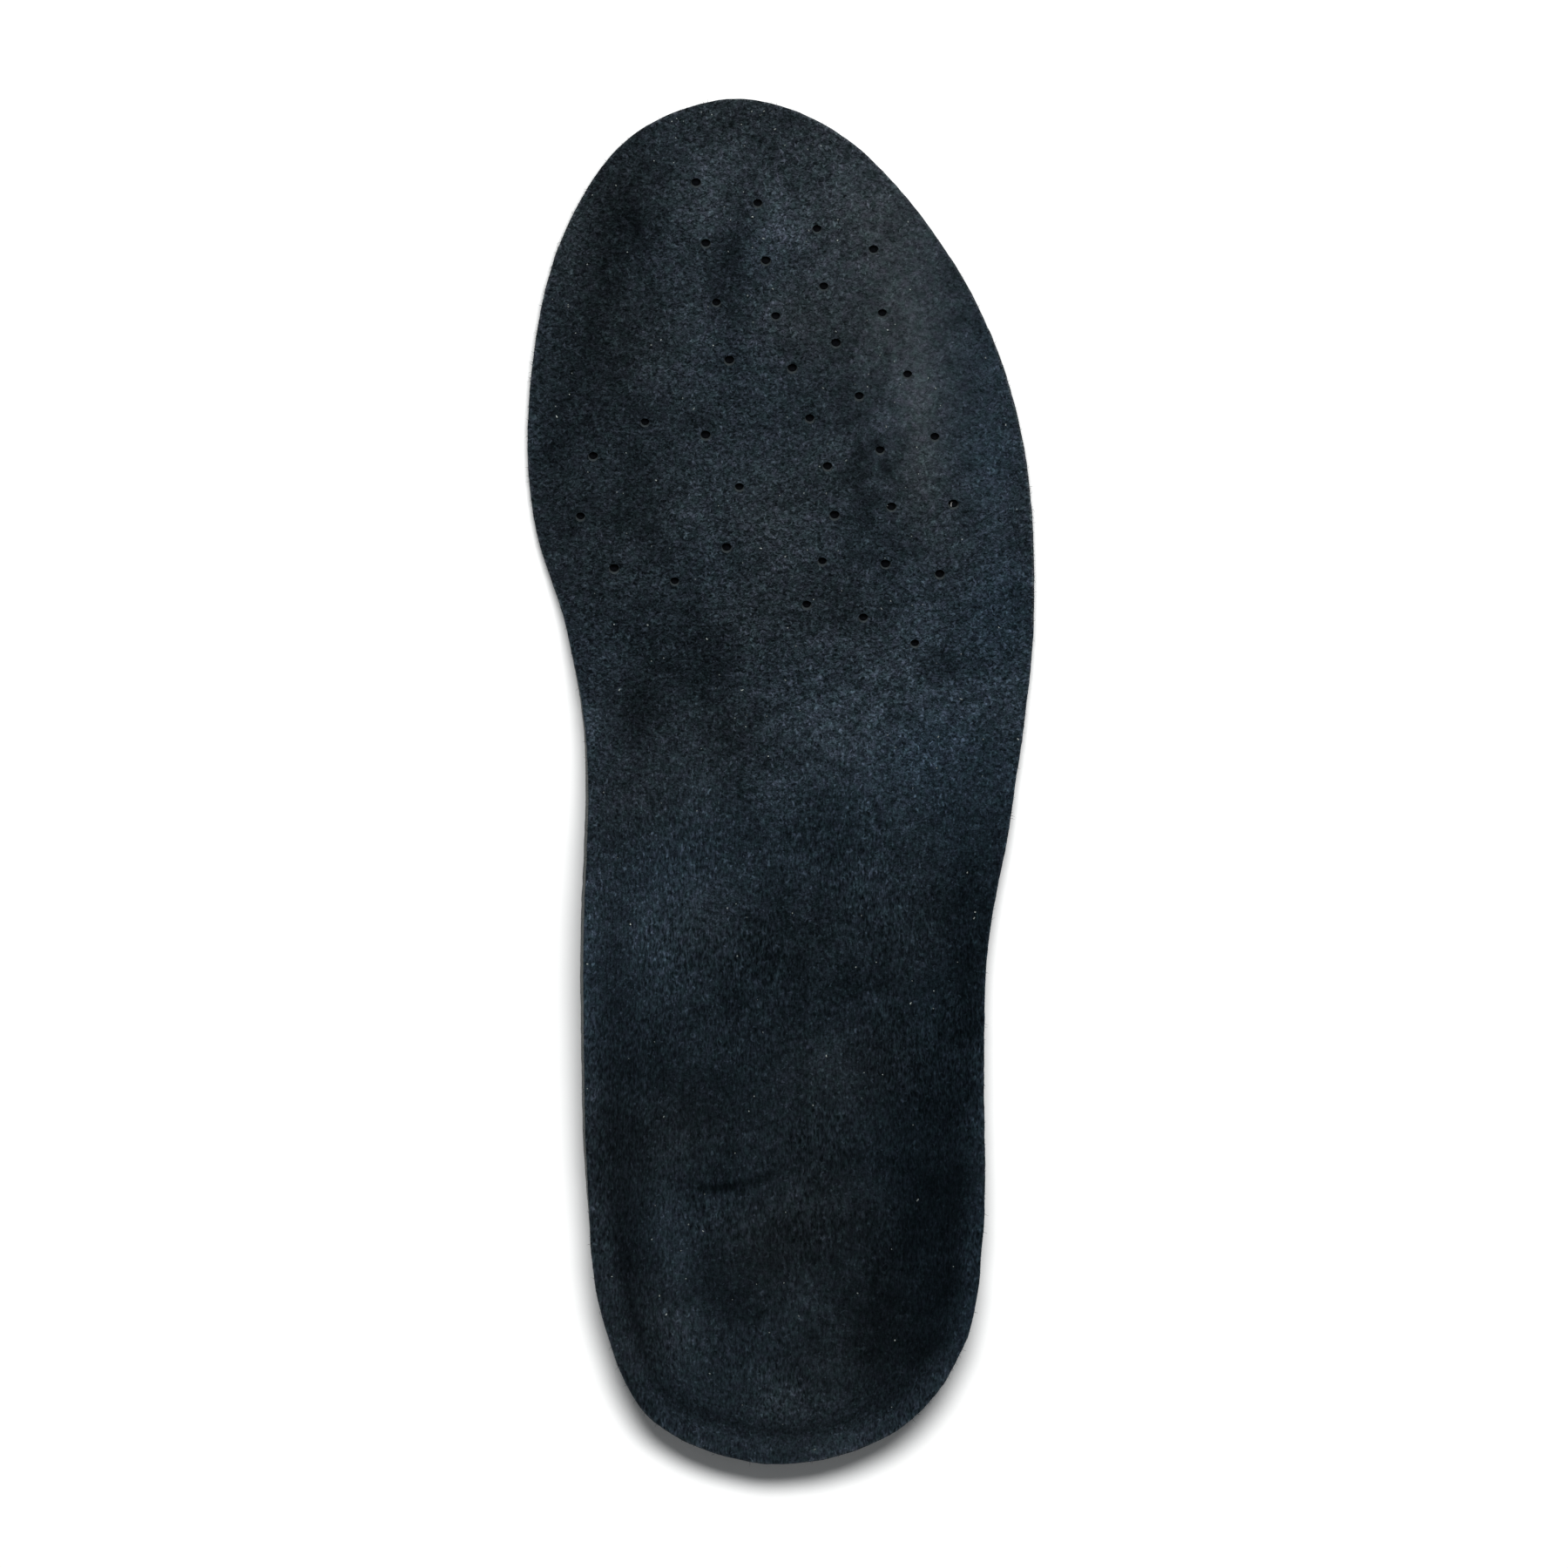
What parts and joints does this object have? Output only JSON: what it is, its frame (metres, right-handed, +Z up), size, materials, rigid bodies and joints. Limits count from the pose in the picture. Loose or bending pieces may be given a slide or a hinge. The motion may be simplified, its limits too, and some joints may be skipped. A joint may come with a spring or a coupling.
{
  "type": "cushioned insole",
  "caption": "Full-length cushioned shoe insole for the right foot: suede-like cover, foam layers, raised heel cup and arch, support plate and soft inserts.",
  "frame": {"origin": "on the floor, under the middle of the outline's box", "axes": "+Y towards the toes, +X towards the little toe, +Z up from the floor to the foot"},
  "size_m": [0.0986, 0.2645, 0.0242],
  "materials": {
    "cover_suede": "blue-black brushed microfibre suede",
    "cushion_foam": "grey open-cell foam, cut edge",
    "pad_foam": "light grey foam",
    "firm_foam": "charcoal moulded foam, fine-grained skin, ground sides",
    "soft_base_foam": "dark grey soft foam",
    "shell_plastic": "satin black moulded plastic",
    "gel": "dark slate-blue gel, pressed dots below"
  },
  "bodies": {
    "rear": {"rear_base": "firm_foam", "arch_shell": "shell_plastic", "heel_pad": "gel", "metatarsal_pad": "pad_foam", "cushion_layer": "cushion_foam", "top_cover": "cover_suede"},
    "forefoot": {"forefoot_base": "soft_base_foam", "ball_pad": "gel"}
  },
  "joints": [
    {"name": "toe_flex", "type": "hinge", "parent": "rear", "child": "forefoot", "pos_m": [0, 0.038, 0.0036], "axis": [0.9659, -0.2588, 0], "range_deg": [0, 45], "stiffness_Nm_per_rad": 0.04, "deforming": ["top_cover", "cushion_layer"]}
  ]
}
